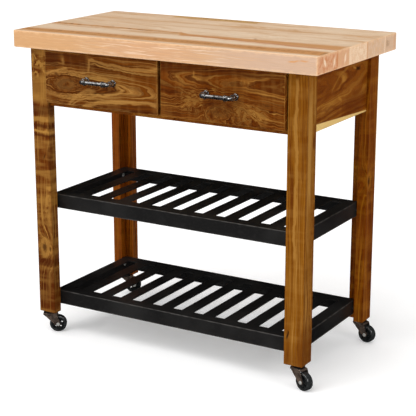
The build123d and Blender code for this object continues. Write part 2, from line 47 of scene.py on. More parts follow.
# Floor and studio light. A white seamless floor in a white room, one very broad lamp high in front
# on the left, a softbox on each side, and two cards that only draw highlights on metal and lacquer.
# Room, floor and left softbox stay out of the reflections, so that the stain and the black stay deep.
floor_reach = 60.0
floor_colour = (0.94, 0.94, 0.94, 1.0)
floor_glow = 0.18
floor_rough = 0.9
floor_gloss = 0.1
room_light = 0.74
room_seen = 1.02
lamp_strength = 1.4
lamp_angle = math.radians(60)
lamp_pitch = math.radians(38)
lamp_turn = math.radians(-28)
softboxes = {
    "left_softbox": {"place": (-2.0, -3.4, 2.2), "size": (0.9, 0.9), "watts": 16.0, "lights": True, "shines": False},
    "right_softbox": {"place": (3.2, -1.0, 1.9), "size": (0.7, 1.1), "watts": 21.0, "lights": True, "shines": True},
    "left_card": {"place": (-2.3, -2.9, 1.5), "size": (0.5, 1.2), "watts": 6.0, "lights": False, "shines": True},
    "front_card": {"place": (2.5, -3.2, 1.6), "size": (1.3, 1.3), "watts": 44.0, "lights": False, "shines": True},
}
light_target = np.array([0.0, 0.0, 0.6])

floor_mesh = bpy.data.meshes.new("floor")
floor_corners = [(x * floor_reach, y * floor_reach, 0.0) for x, y in ((-1, -1), (1, -1), (1, 1), (-1, 1))]
floor_mesh.from_pydata(floor_corners, [], [(0, 1, 2, 3)])
floor = bpy.data.objects.new("floor", floor_mesh)
scene.collection.objects.link(floor)
floor_paint = bpy.data.materials.new("floor_paint")
floor_paint.use_nodes = True
floor_shader = floor_paint.node_tree.nodes["Principled BSDF"]
floor_shader.inputs["Base Color"].default_value = floor_colour
floor_shader.inputs["Emission Color"].default_value = floor_colour
floor_shader.inputs["Emission Strength"].default_value = floor_glow
floor_shader.inputs["Roughness"].default_value = floor_rough
floor_shader.inputs["Specular IOR Level"].default_value = floor_gloss
floor_mesh.materials.append(floor_paint)
floor.visible_glossy = False

# The room is a little brighter to the camera than to the cart.
room = bpy.data.worlds.new("room")
room.use_nodes = True
room_tree = room.node_tree
room_air = room_tree.nodes["Background"]
room_air.inputs["Color"].default_value = (1.0, 1.0, 1.0, 1.0)
seen = room_tree.nodes.new("ShaderNodeLightPath").outputs["Is Camera Ray"]
brightness = room_tree.nodes.new("ShaderNodeMath")
brightness.operation = "MULTIPLY_ADD"
brightness.inputs[1].default_value = room_seen - room_light
brightness.inputs[2].default_value = room_light
room_tree.links.new(seen, brightness.inputs[0])
room_tree.links.new(brightness.outputs[0], room_air.inputs["Strength"])
scene.world = room
room.cycles_visibility.glossy = False

lamp_data = bpy.data.lights.new("broad_lamp", "SUN")
lamp_data.energy = lamp_strength
lamp_data.angle = lamp_angle
lamp = bpy.data.objects.new("broad_lamp", lamp_data)
lamp.rotation_euler = (lamp_pitch, 0.0, lamp_turn)
scene.collection.objects.link(lamp)
for name, box in softboxes.items():
    lamp_data = bpy.data.lights.new(name, "AREA")
    lamp_data.shape = "RECTANGLE"
    lamp_data.size, lamp_data.size_y = box["size"]
    lamp_data.energy = box["watts"]
    lamp = bpy.data.objects.new(name, lamp_data)
    lamp.location = box["place"]
    away = np.array(box["place"]) - light_target
    pitch = math.atan2(math.hypot(away[0], away[1]), away[2])
    lamp.rotation_euler = (pitch, 0.0, math.atan2(away[0], -away[1]))
    lamp.visible_diffuse = box["lights"]
    lamp.visible_glossy = box["shines"]
    scene.collection.objects.link(lamp)


# Worktop, a thick block glued up from wide maple boards that run its full length, sanded and
# oiled. The heartwood shows as brown streaks on top, and the end grain shows on both ends.
# Its section also makes the grain and the streaks that every other board uses.
def feed(tree, socket, value):
    """Joins a socket to another one, or sets its plain value."""
    if isinstance(value, bpy.types.NodeSocket):
        tree.links.new(value, socket)
    elif value is not None:
        socket.default_value = value


def maths(tree, operation, *values):
    """One maths node, fed by sockets or plain numbers."""
    step = tree.nodes.new("ShaderNodeMath")
    step.operation = operation
    for socket, value in zip(step.inputs, values):
        feed(tree, socket, value)
    return step.outputs[0]


def vectors(tree, operation, *values):
    """One vector maths node, fed by sockets or plain vectors."""
    step = tree.nodes.new("ShaderNodeVectorMath")
    step.operation = operation
    for socket, value in zip(step.inputs, values):
        feed(tree, socket, value)
    return step.outputs["Value" if operation == "LENGTH" else "Vector"]


def split(tree, vector):
    """The three parts of a vector."""
    step = tree.nodes.new("ShaderNodeSeparateXYZ")
    feed(tree, step.inputs[0], vector)
    return step.outputs[0], step.outputs[1], step.outputs[2]


def join(tree, *parts):
    """A vector from three parts."""
    step = tree.nodes.new("ShaderNodeCombineXYZ")
    for socket, value in zip(step.inputs, parts):
        feed(tree, socket, value)
    return step.outputs[0]


def slide(tree, value, low, high, start=0.0, end=1.0):
    """A smooth step: start at low, end at high. Low may be the larger of the two."""
    step = tree.nodes.new("ShaderNodeMapRange")
    step.interpolation_type = "SMOOTHSTEP"
    for socket, part in zip(step.inputs, (value, low, high, start, end)):
        feed(tree, socket, part)
    return step.outputs[0]


def noise(tree, place, detail=2.0, rough=0.5):
    """Soft noise about one unit wide, mostly between 0.3 and 0.7."""
    step = tree.nodes.new("ShaderNodeTexNoise")
    feed(tree, step.inputs["Vector"], place)
    step.inputs["Scale"].default_value = 1.0
    step.inputs["Detail"].default_value = detail
    step.inputs["Roughness"].default_value = rough
    return step.outputs[0]


def scaled(tree, place, *sizes):
    """A place with each of its parts multiplied."""
    return vectors(tree, "MULTIPLY", place, sizes)


def mix(tree, mask, low, high, how="MIX"):
    """Two colours mixed by a mask."""
    step = tree.nodes.new("ShaderNodeMix")
    step.data_type = "RGBA"
    step.blend_type = how
    for socket, value in zip((step.inputs[0], step.inputs[6], step.inputs[7]), (mask, low, high)):
        feed(tree, socket, value)
    return step.outputs[2]


def part_of(tree, mask, share):
    """A mask made weaker."""
    return maths(tree, "MULTIPLY", mask, share)


def new_group(name, inputs, outputs):
    """An empty shader group. Inputs are name: value, and every output is a number."""
    tree = bpy.data.node_groups.new(name, "ShaderNodeTree")
    for label, value in inputs.items():
        kind = "NodeSocketVector" if isinstance(value, tuple) else "NodeSocketFloat"
        tree.interface.new_socket(label, in_out="INPUT", socket_type=kind).default_value = value
    for label in outputs:
        tree.interface.new_socket(label, in_out="OUTPUT", socket_type="NodeSocketFloat")
    entry, way_out = tree.nodes.new("NodeGroupInput"), tree.nodes.new("NodeGroupOutput")
    return tree, entry.outputs, way_out.inputs


def use_group(tree, group, values):
    """Places a group in a material and sets its inputs. Returns its outputs."""
    step = tree.nodes.new("ShaderNodeGroup")
    step.node_tree = group
    for label, value in values.items():
        feed(tree, step.inputs[label], value)
    return step.outputs


def shade(red, green, blue):
    """A colour as a paint chart gives it, 0 to 255, made linear."""
    parts = np.array([red, green, blue]) / 255.0
    linear = np.where(parts <= 0.04045, parts / 12.92, ((parts + 0.055) / 1.055) ** 2.4)
    return (*linear.tolist(), 1.0)


# Knots, measured in their own sizes: twice as long as wide, with a wobbling outline, then how fast
# their hill in the rings and the stir round them fall off, and where core and rim begin and end.
knot_count = 3
knot_squeeze = (0.5, 1.0, 1.0)
knot_waves, knot_wobble = (90, 90, 90), 0.7
hill_fall, stir_fall = -0.35, -0.1
core_edge, rim_outside, rim_inside = (0.62, 0.25), (1.5, 0.9), (0.5, 0.85)
least_stir = 0.06
# Waves per metre along the board and across its rings: three layers of tone, each with its share
# of the whole and its detail, and then the pale lines, dark veins and the finer marks.
tone_layers = ((1.8, 40.0, 0.32, 2.0), (5.0, 230.0, 0.46, 3.0), (11.0, 760.0, 0.22, 2.0))
line_waves, vein_waves, mottle_waves = (4.0, 330.0), (3.0, 280.0), (75.0, 190.0)
fibre_waves, pore_waves, curl_waves = (16.0, 1500.0, 400.0), (95, 1500, 1500), (52, 10, 10)
stir_waves, slow_waves, ripple_waves = (34, 50, 50), (3.4, 15, 15), (16, 46, 46)
# Where a mark begins in its noise and where it is full, and where a ring's dark part rises and falls.
line_cut, vein_cut, mottle_cut = (0.56, 0.68), (0.5, 0.38), (0.46, 0.62)
pore_cut, curl_cut = (0.64, 0.72), (0.42, 0.7)
ring_rise, ring_fall = (0.3, 0.88), (1.0, 0.9)


def wood_grain_group():
    """Grain in a board's own frame: X along the grain, Y across the face, Z through the board.

    The distance from a tilted heart line, bent by slow noise, is the growth coordinate. Streaks are
    noise that changes fast along it and slowly along the board. A knot adds a bell-shaped hill to
    it, so that the streaks flow round the knot, and stirs the places near it.
    """
    inputs = {"Place": (0.0, 0.0, 0.0), "Seed": 0.0, "Heart": (0.0, 0.0, -0.06), "Taper": 0.1,
              "Waver": 0.006, "Wild": 0.012, "Ring Width": 0.006}
    for k in range(knot_count):
        inputs[f"Knot {k}"] = (9.0, 9.0, 0.0)
        inputs[f"Size {k}"] = 0.01
        inputs[f"Lift {k}"] = 0.0
    outputs = ("Tone", "Line", "Vein", "Ring", "Fibre", "Pore", "Core", "Rim", "Near Knot", "Mottle", "Curl And Sheen")
    tree, given, made = new_group("wood_grain", inputs, outputs)
    seed = given["Seed"]
    shift = scaled(tree, join(tree, seed, seed, seed), 3.1, 1.7, 2.3)
    place = given["Place"]

    core, rim, near, lift = 0.0, 0.0, 0.0, 0.0
    wobble = noise(tree, vectors(tree, "ADD", scaled(tree, place, *knot_waves), shift))
    wobble = part_of(tree, maths(tree, "SUBTRACT", wobble, 0.5), knot_wobble)
    for k in range(knot_count):
        away = scaled(tree, vectors(tree, "SUBTRACT", place, given[f"Knot {k}"]), *knot_squeeze)
        far = maths(tree, "DIVIDE", vectors(tree, "LENGTH", away), given[f"Size {k}"])
        far = maths(tree, "ADD", far, wobble)
        square = maths(tree, "MULTIPLY", far, far)
        bell = maths(tree, "EXPONENT", part_of(tree, square, hill_fall))
        lift = maths(tree, "ADD", lift, maths(tree, "MULTIPLY", bell, given[f"Lift {k}"]))
        near = maths(tree, "MAXIMUM", near, maths(tree, "EXPONENT", part_of(tree, square, stir_fall)))
        core = maths(tree, "MAXIMUM", core, slide(tree, far, *core_edge))
        ring = maths(tree, "MULTIPLY", slide(tree, far, *rim_outside), slide(tree, far, *rim_inside))
        rim = maths(tree, "MAXIMUM", rim, ring)

    # The growth coordinate, of places stirred a little everywhere and more near a knot.
    stir = tree.nodes.new("ShaderNodeTexNoise")
    feed(tree, stir.inputs["Vector"], vectors(tree, "ADD", scaled(tree, place, *stir_waves), shift))
    stir.inputs["Scale"].default_value = 1.0
    stirred = vectors(tree, "SUBTRACT", stir.outputs["Color"], (0.5, 0.5, 0.5))
    amount = maths(tree, "MULTIPLY", maths(tree, "ADD", near, least_stir), given["Wild"])
    stirred = vectors(tree, "MULTIPLY", stirred, join(tree, amount, amount, amount))
    x, y, z = split(tree, vectors(tree, "ADD", place, stirred))
    heart_x, heart_y, heart_z = split(tree, given["Heart"])
    across = maths(tree, "SUBTRACT", y, heart_y)
    depth = maths(tree, "MULTIPLY", given["Taper"], maths(tree, "SUBTRACT", x, heart_x))
    depth = maths(tree, "ADD", maths(tree, "SUBTRACT", z, heart_z), depth)
    reach = vectors(tree, "LENGTH", join(tree, across, depth, 0.0))
    slow = noise(tree, vectors(tree, "ADD", scaled(tree, place, *slow_waves), shift), 3.0)
    ripple = noise(tree, vectors(tree, "ADD", scaled(tree, place, *ripple_waves), shift), 2.0)
    bend = part_of(tree, maths(tree, "SUBTRACT", slow, 0.5), 4.0)
    bend = maths(tree, "ADD", bend, maths(tree, "SUBTRACT", ripple, 0.5))
    reach = maths(tree, "ADD", reach, maths(tree, "MULTIPLY", bend, given["Waver"]))
    reach = maths(tree, "ADD", reach, lift)

    def streaks(along, aside, key, detail, rough=0.5):
        """Noise that follows the rings. Each key gives another pattern."""
        place = join(tree, part_of(tree, x, along), part_of(tree, reach, aside), maths(tree, "ADD", seed, key))
        return noise(tree, place, detail, rough)

    tone = 0.0
    for k, (along, aside, share, detail) in enumerate(tone_layers):
        tone = maths(tree, "ADD", tone, part_of(tree, streaks(along, aside, 4.0 * k, detail), share))
    turn = maths(tree, "FRACT", maths(tree, "DIVIDE", reach, given["Ring Width"]))
    along, aside, inward = fibre_waves
    fibre_place = join(tree, part_of(tree, x, along), part_of(tree, reach, aside), part_of(tree, z, inward))
    curl_and_sheen = noise(tree, vectors(tree, "ADD", scaled(tree, place, *curl_waves), shift), 2.0)
    feed(tree, made["Tone"], tone)
    feed(tree, made["Line"], slide(tree, streaks(*line_waves, 13.0, 2.0), *line_cut))
    feed(tree, made["Vein"], slide(tree, streaks(*vein_waves, 17.0, 3.0), *vein_cut))
    feed(tree, made["Ring"], maths(tree, "MULTIPLY", slide(tree, turn, *ring_rise), slide(tree, turn, *ring_fall)))
    feed(tree, made["Fibre"], noise(tree, fibre_place, 3.0, 0.6))
    feed(tree, made["Pore"], slide(tree, noise(tree, scaled(tree, place, *pore_waves), 1.0), *pore_cut))
    feed(tree, made["Core"], core)
    feed(tree, made["Rim"], rim)
    feed(tree, made["Near Knot"], near)
    feed(tree, made["Mottle"], slide(tree, streaks(*mottle_waves, 21.0, 3.0, 0.6), *mottle_cut))
    feed(tree, made["Curl And Sheen"], slide(tree, curl_and_sheen, *curl_cut))
    return tree


def streak_mark_group():
    """A soft streak from a start to an end, each given as along, across and half width.

    Its middle line is a parabola between the two with a given sag, and its half width changes
    evenly from one to the other. It fades at both ends, and away from the face that it lies in.
    """
    inputs = {"Place": (0.0, 0.0, 0.0), "Start": (0.0, 0.0, 0.01), "End": (0.1, 0.0, 0.01), "Sag": 0.0,
              "Fade": 0.012, "Face": 0.0, "Reach": 9.0}
    tree, given, made = new_group("streak_mark", inputs, ("Mask",))
    x, y, z = split(tree, given["Place"])
    start_x, start_y, start_half = split(tree, given["Start"])
    end_x, end_y, end_half = split(tree, given["End"])
    share = tree.nodes.new("ShaderNodeMapRange")
    for socket, part in zip(share.inputs, (x, start_x, end_x, 0.0, 1.0)):
        feed(tree, socket, part)
    share = share.outputs[0]
    rest = maths(tree, "SUBTRACT", 1.0, share)
    line = maths(tree, "ADD", maths(tree, "MULTIPLY", start_y, rest), maths(tree, "MULTIPLY", end_y, share))
    bow = maths(tree, "MULTIPLY", maths(tree, "MULTIPLY", share, rest), part_of(tree, given["Sag"], 4.0))
    half = maths(tree, "ADD", maths(tree, "MULTIPLY", start_half, rest), maths(tree, "MULTIPLY", end_half, share))
    off = maths(tree, "ABSOLUTE", maths(tree, "SUBTRACT", y, maths(tree, "ADD", line, bow)))
    mask = slide(tree, maths(tree, "DIVIDE", off, half), 1.0, 0.35)
    beyond = maths(tree, "MAXIMUM", maths(tree, "SUBTRACT", start_x, x), maths(tree, "SUBTRACT", x, end_x))
    mask = maths(tree, "MULTIPLY", mask, slide(tree, maths(tree, "DIVIDE", beyond, given["Fade"]), 0.6, -0.6))
    deep = maths(tree, "ABSOLUTE", maths(tree, "SUBTRACT", z, given["Face"]))
    mask = maths(tree, "MULTIPLY", mask, slide(tree, maths(tree, "DIVIDE", deep, given["Reach"]), 1.0, 0.6))
    feed(tree, made["Mask"], mask)
    return tree


def board_edge_group():
    """Nearness to the edges of a box-shaped board: 1 on an edge, 0 a few millimetres from it."""
    inputs = {"Place": (0.0, 0.0, 0.0), "Half": (1.0, 1.0, 1.0), "Width": 0.004}
    tree, given, made = new_group("board_edge", inputs, ("Edge",))
    x, y, z = split(tree, vectors(tree, "SUBTRACT", given["Half"], vectors(tree, "ABSOLUTE", given["Place"])))
    pairs = [maths(tree, "MAXIMUM", a, b) for a, b in ((x, y), (y, z), (z, x))]
    nearest = maths(tree, "MINIMUM", maths(tree, "MINIMUM", pairs[0], pairs[1]), pairs[2])
    patchy = noise(tree, scaled(tree, given["Place"], 60, 60, 60), 3.0)
    width = maths(tree, "MULTIPLY", given["Width"], slide(tree, patchy, 0.3, 0.7, 0.35, 1.3))
    feed(tree, made["Edge"], slide(tree, nearest, width, 0.0))
    return tree


wood_grain = wood_grain_group()
streak_mark = streak_mark_group()
board_edge = board_edge_group()
# Marks are given in millimetres. One that stays on a face reaches this deep into the board.
mm = 0.001
face_depth = 16 * mm


def draw_marks(tree, place, colour, marks, inks, masks):
    """Lays streaks over a colour. A mark is start, end, sag, strength, ink and maybe choices: a mask
    that breaks it up, a fade length at its ends, or the height of a face that it stays on. Its start
    and end are each a place along the grain, a place across it and a half width, in millimetres."""
    for start, end, sag, strength, ink, *choices in marks:
        choice = choices[0] if choices else {}
        values = {"Place": place, "Start": tuple(mm * part for part in start),
                  "End": tuple(mm * part for part in end), "Sag": mm * sag, "Fade": mm * choice.get("fade", 12)}
        if "face" in choice:
            values["Face"], values["Reach"] = mm * choice["face"], face_depth
        mask = part_of(tree, use_group(tree, streak_mark, values)["Mask"], strength)
        if "mask" in choice:
            mask = maths(tree, "MULTIPLY", mask, masks[choice["mask"]])
        colour = mix(tree, mask, colour, inks[ink])
    return colour


def band(start, end, half, strength, ink, *choices):
    """A mark straight across a face, from one place along the grain to another."""
    return (start, 0, half), (end, 0, half), 0, strength, ink, *choices


def add_bump(tree, shader, height, depth, strength):
    """Relief of a given depth in metres, fed to the shader's normal."""
    bump = tree.nodes.new("ShaderNodeBump")
    bump.inputs["Distance"].default_value = depth
    bump.inputs["Strength"].default_value = strength
    feed(tree, bump.inputs["Height"], height)
    feed(tree, shader.inputs["Normal"], bump.outputs[0])


def new_finish(name, gloss):
    """A material with one shader of the given specular level. Returns it, its tree and its shader."""
    material = bpy.data.materials.new(name)
    material.use_nodes = True
    shader = material.node_tree.nodes["Principled BSDF"]
    shader.inputs["Specular IOR Level"].default_value = gloss
    return material, material.node_tree, shader


def paint(material, *names):
    """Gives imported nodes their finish."""
    for name in names:
        piece = nodes[name]
        piece.data.materials.clear()
        piece.data.materials.append(material)


def middle_and_half(node):
    """A node's middle and half size."""
    low, high = (np.array(corner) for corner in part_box(node))
    return (low + high) / 2, (high - low) / 2


# Where the five boards of the top meet, from front to back, and the heart of each one's rings, in
# metres from the middle of the top.
top_middle, top_half = middle_and_half("butcher_block_top")
glue_lines = [-0.139, -0.067, 0.048, 0.174]
glue_line_fade = (0.0012, 0.0003)
board_hearts = [(0.0, -0.215, -0.060), (0.0, -0.110, 0.075), (0.0, -0.020, -0.160), (0.0, 0.140, -0.110),
                (0.0, 0.215, 0.080)]
eased_edge = 0.009
maple_gloss = 0.3
maple_ring_width = 0.0045
pale_maple, tan_maple = (0.42, 0.6), (0.48, 0.38)
maple_fibre = (0.3, 0.7, 0.94, 1.05)
top_drift, top_fray = 0.028, 0.012
maple_inks = {
    "pale": shade(232, 206, 176), "plain": shade(222, 190, 156), "tan": shade(206, 160, 114),
    "pink": shade(206, 152, 114), "brown": shade(202, 143, 86), "red": shade(190, 116, 66),
    "ochre": shade(200, 156, 98), "dark": shade(132, 82, 42), "orange": shade(201, 152, 103),
    "peach": shade(196, 154, 115), "rose": shade(196, 163, 138), "umber": shade(150, 116, 84),
    # The next ink is laid along the eased edges of the top: a painted highlight where they round over.
    "edge_band": shade(232, 190, 146),
}
broken, mottled = {"mask": "Line"}, {"mask": "Mottle"}
# Marks of the top, in millimetres from its middle: an ochre patch and faint lines at the back, a
# brown line with a kink in the middle, and a broad band of heartwood along the front.
maple_marks = [
    ((-479, 250, 14), (479, 250, 14), 0, 0.5, "tan", {"fade": 60}),
    ((-242, 230, 26), (54, 228, 30), 0, 1.0, "ochre"),
    ((-235, 238, 12), (46, 236, 14), 1, 0.5, "dark", mottled),
    ((-479, 112, 20), (479, 122, 16), 3, 0.6, "tan"),
    ((-479, 112, 12), (-60, 116, 10), 3, 0.6, "tan", broken),
    ((-479, 44, 10), (200, 48, 6), -4, 0.45, "tan"),
    ((-392, 39, 6), (-370, 41, 6), 0, 0.8, "brown"),
    ((150, 40, 5), (190, 36, 5), 0, 0.6, "tan"),
    ((225, 108, 5), (262, 112, 5), 0, 0.6, "tan"),
    ((392, 84, 9), (441, 66, 9), 0, 0.5, "tan"),
    ((-479, 180, 26), (479, 186, 22), 0, 0.4, "pale", {"fade": 90}),
    ((-100, 4, 22), (479, 0, 26), 0, 0.45, "pale", {"fade": 90}),
    ((-479, -66, 15), (-18, -72, 13), 5, 0.95, "brown"),
    ((-470, -64, 10), (-40, -72, 9), 4, 0.8, "dark", mottled),
    ((-44, -60, 10), (-8, -92, 22), 0, 0.85, "brown"),
    ((-20, -92, 20), (479, -98, 44), 5, 0.92, "brown"),
    ((-10, -96, 8), (180, -104, 8), 3, 0.6, "red"),
    ((60, -104, 8), (479, -134, 10), 3, 0.7, "red"),
    ((190, -54, 7), (216, -78, 8), 0, 0.8, "dark", mottled),
    ((-479, -132, 46), (240, -148, 20), 0, 0.7, "pale", {"fade": 60}),
    ((200, -142, 14), (479, -148, 10), 0, 0.5, "pale"),
    ((-479, -211, 38), (479, -202, 48), 4, 1.0, "brown"),
    ((-479, -206, 18), (479, -196, 22), 3, 0.45, "dark", mottled),
    ((-479, -206, 30), (479, -196, 34), 3, 0.5, "orange", broken),
    ((-479, -220, 12), (200, -214, 12), 3, 0.4, "orange", broken),
]
# Marks of the ends, from front to back: two pink boards, a pale one, and two greyer ones. A band
# with this half width covers an end or an edge from top to bottom.
whole_end = 90
end_marks = [
    band(-254, -66, whole_end, 0.95, "pink"),
    band(-254, -140, whole_end, 0.75, "red", mottled),
    band(-142, -133, whole_end, 0.95, "red", {"fade": 4}),
    ((-216, 8, 10), (-204, -2, 10), 0, 0.9, "pale", {"fade": 6}),
    ((-160, -8, 13), (-150, 4, 13), 0, 0.8, "pale", {"fade": 6}),
    band(-130, -66, whole_end, 0.6, "tan", mottled),
    ((-94, -6, 14), (-84, 4, 14), 0, 0.9, "pale", {"fade": 6}),
    band(-64, 48, whole_end, 0.6, "pale", {"fade": 4}),
    band(-50, 40, whole_end, 0.4, "pink", mottled),
    band(48, 58, whole_end, 0.5, "red", {"fade": 6}),
    band(56, 254, whole_end, 0.7, "rose"),
    band(56, 170, whole_end, 0.5, "tan", mottled),
    band(56, 170, whole_end, 0.4, "pale", broken),
    band(166, 173, whole_end, 0.7, "pale", {"fade": 4}),
    ((178, 2, 16), (200, 6, 16), 0, 0.6, "umber", mottled),
    band(230, 238, whole_end, 0.75, "pink", {"fade": 5}),
]
# Marks of the front and back edges: orange at the left, rose at the right, thin streaks between.
edge_marks = [
    band(-600, -240, whole_end, 0.9, "orange", {"fade": 240}),
    ((-479, 6, 10), (-330, 14, 10), 0, 0.6, "tan", mottled),
    band(180, 700, whole_end, 0.9, "rose", {"fade": 260}),
    ((400, 2, 3), (426, 5, 3), 0, 0.9, "brown"),
    ((432, 6, 3), (452, 8, 3), 0, 0.8, "brown"),
    ((-479, 10, 18), (479, -6, 16), 4, 0.6, "tan", broken),
    ((-420, -12, 12), (300, -2, 14), -6, 0.5, "tan", broken),
    band(-160, 120, whole_end, 0.3, "pink", {"fade": 160}),
]


def board_under(tree, y):
    """Which glued board a place lies in: its number, its heart, and nearness to a glue line."""
    number, near_line, heart = 0.0, 0.0, board_hearts[0]
    for seam, next_heart in zip(glue_lines, board_hearts[1:]):
        passed = maths(tree, "GREATER_THAN", y, seam)
        number = maths(tree, "ADD", number, passed)
        step = tree.nodes.new("ShaderNodeMix")
        step.data_type = "VECTOR"
        for socket, value in zip((step.inputs[0], step.inputs[4], step.inputs[5]), (passed, heart, next_heart)):
            feed(tree, socket, value)
        heart = step.outputs[1]
        gap = maths(tree, "ABSOLUTE", maths(tree, "SUBTRACT", y, seam))
        near_line = maths(tree, "MAXIMUM", near_line, slide(tree, gap, *glue_line_fade))
    return number, heart, near_line


def maple_edge(tree, place, seed, drift, masks):
    """Colour of the long edges: fine lines that wander along the boards, and the edge marks."""
    x, _, z = split(tree, place)
    wavy = noise(tree, scaled(tree, place, 14, 14, 40), 3.0)
    level = maths(tree, "MULTIPLY_ADD", wavy, 0.012, z)
    grain = noise(tree, join(tree, part_of(tree, x, 9.0), part_of(tree, level, 250.0), seed), 3.0)
    colour = mix(tree, slide(tree, grain, 0.5, 0.38), maple_inks["peach"], maple_inks["tan"])
    colour = mix(tree, slide(tree, grain, 0.5, 0.7), colour, maple_inks["pale"])
    return draw_marks(tree, join(tree, x, maths(tree, "ADD", z, drift), 0.0), colour, edge_marks, maple_inks, masks)


def maple_end(tree, place, seed, rings):
    """Colour of the end grain: upright ribs, rings and the end marks with patches of their own."""
    _, y, z = split(tree, place)
    patch_place = join(tree, part_of(tree, y, 95.0), part_of(tree, z, 60.0), maths(tree, "ADD", seed, 40.0))
    patches = noise(tree, patch_place, 4.0, 0.6)
    ribs = noise(tree, join(tree, part_of(tree, y, 180.0), part_of(tree, z, 26.0), seed), 4.0, 0.6)
    masks = {"Line": slide(tree, ribs, 0.5, 0.6), "Mottle": slide(tree, patches, 0.46, 0.57)}
    colour = mix(tree, slide(tree, ribs, 0.35, 0.65), maple_inks["plain"], maple_inks["tan"])
    colour = draw_marks(tree, join(tree, y, z, 0.0), colour, end_marks, maple_inks, masks)
    return mix(tree, part_of(tree, rings, 0.3), colour, maple_inks["tan"])


def oiled_maple():
    """Oiled maple. Each board has its own rings and tint; marks lie in the top, the edge and the ends."""
    material, tree, shader = new_finish("oiled_maple", maple_gloss)
    place = vectors(tree, "SUBTRACT", tree.nodes.new("ShaderNodeTexCoord").outputs["Object"], tuple(top_middle))
    x, y, _ = split(tree, place)
    number, heart, glue = board_under(tree, y)
    seed = maths(tree, "ADD", part_of(tree, number, 1.37), 2.0)
    grain = use_group(tree, wood_grain, {"Place": place, "Seed": seed, "Heart": heart, "Taper": 0.03,
                                         "Waver": 0.006, "Wild": 0.006, "Ring Width": maple_ring_width})
    masks = {"Line": grain["Line"], "Mottle": grain["Mottle"]}
    inks = maple_inks
    colour = mix(tree, slide(tree, grain["Tone"], *pale_maple), inks["plain"], inks["pale"])
    colour = mix(tree, slide(tree, grain["Tone"], *tan_maple), colour, inks["tan"])
    colour = mix(tree, slide(tree, x, 0.15, -0.4, 0.0, 0.3), colour, inks["tan"])
    colour = mix(tree, part_of(tree, grain["Ring"], 0.22), colour, inks["tan"])

    # Marks wander across the boards and have frayed sides.
    drift = noise(tree, scaled(tree, place, 7, 30, 0), 3.0)
    drift = part_of(tree, maths(tree, "SUBTRACT", drift, 0.5), top_drift)
    fray = maths(tree, "SUBTRACT", noise(tree, scaled(tree, place, 22, 420, 0), 2.0), 0.5)
    drift = maths(tree, "ADD", drift, part_of(tree, fray, top_fray))
    top_place = vectors(tree, "ADD", place, join(tree, 0.0, drift, 0.0))
    top_colour = draw_marks(tree, top_place, colour, maple_marks, inks, masks)
    edge_colour = maple_edge(tree, place, seed, drift, masks)
    end_colour = maple_end(tree, place, seed, grain["Ring"])

    # The way that a face points tells which of the colours it takes.
    outward = tree.nodes.new("ShaderNodeNewGeometry").outputs["True Normal"]
    normal_x, normal_y, normal_z = split(tree, outward)
    on_end = slide(tree, maths(tree, "ABSOLUTE", normal_x), 0.6, 0.9)
    colour = mix(tree, slide(tree, normal_z, 0.4, 0.75), colour, top_colour)
    colour = mix(tree, slide(tree, maths(tree, "ABSOLUTE", normal_y), 0.6, 0.9), colour, edge_colour)
    colour = mix(tree, on_end, colour, end_colour)
    # The eased edges are painted a paler tone: a painted highlight along the rounded edges.
    outline = {"Place": place, "Half": tuple(top_half.tolist()), "Width": eased_edge}
    painted_edge_highlight = use_group(tree, board_edge, outline)["Edge"]
    colour = mix(tree, part_of(tree, painted_edge_highlight, 0.5), colour, inks["edge_band"])
    colour = mix(tree, part_of(tree, grain["Pore"], 0.2), colour, inks["tan"])
    colour = mix(tree, part_of(tree, glue, 0.35), colour, inks["brown"])
    fibre = slide(tree, grain["Fibre"], *maple_fibre)
    feed(tree, shader.inputs["Base Color"], mix(tree, 1.0, colour, join(tree, fibre, fibre, fibre), "MULTIPLY"))
    rough = maths(tree, "MULTIPLY_ADD", grain["Fibre"], 0.16, 0.42)
    feed(tree, shader.inputs["Roughness"], maths(tree, "ADD", rough, part_of(tree, on_end, 0.1)))
    height = maths(tree, "SUBTRACT", part_of(tree, grain["Fibre"], 0.5), grain["Pore"])
    height = maths(tree, "SUBTRACT", height, part_of(tree, glue, 1.5))
    add_bump(tree, shader, height, depth=0.12 * mm, strength=0.5)
    return material


paint(oiled_maple(), "butcher_block_top")


# Legs, L-section posts glued up from alder, stained brown and sprayed with a satin lacquer. Each
# has its own tones, knots and light or dark streaks, given in millimetres from the leg's middle.
# The lacquer is amber, so its sheen takes the stain's colour.
lacquer_gloss = 0.1
lacquer_amber = (1.0, 0.72, 0.35, 1.0)
knot_black = shade(46, 20, 5)
# Pale sapwood colour. On the back right leg the same colour draws a painted highlight along one edge.
sapwood_and_highlight = shade(206, 172, 106)
worn_edge = 0.0035
board_drift = 0.022
# Where the grain's tone turns dark or pale, how far its fibres darken and lighten the stain, and how
# strongly veins, pores and the wood near a knot show.
dark_stain, pale_stain = (0.49, 0.37), (0.51, 0.65)
stain_fibre = (0.3, 0.7, 0.88, 1.1)
vein_share, pore_share, knot_share = 0.55, 0.3, 0.5


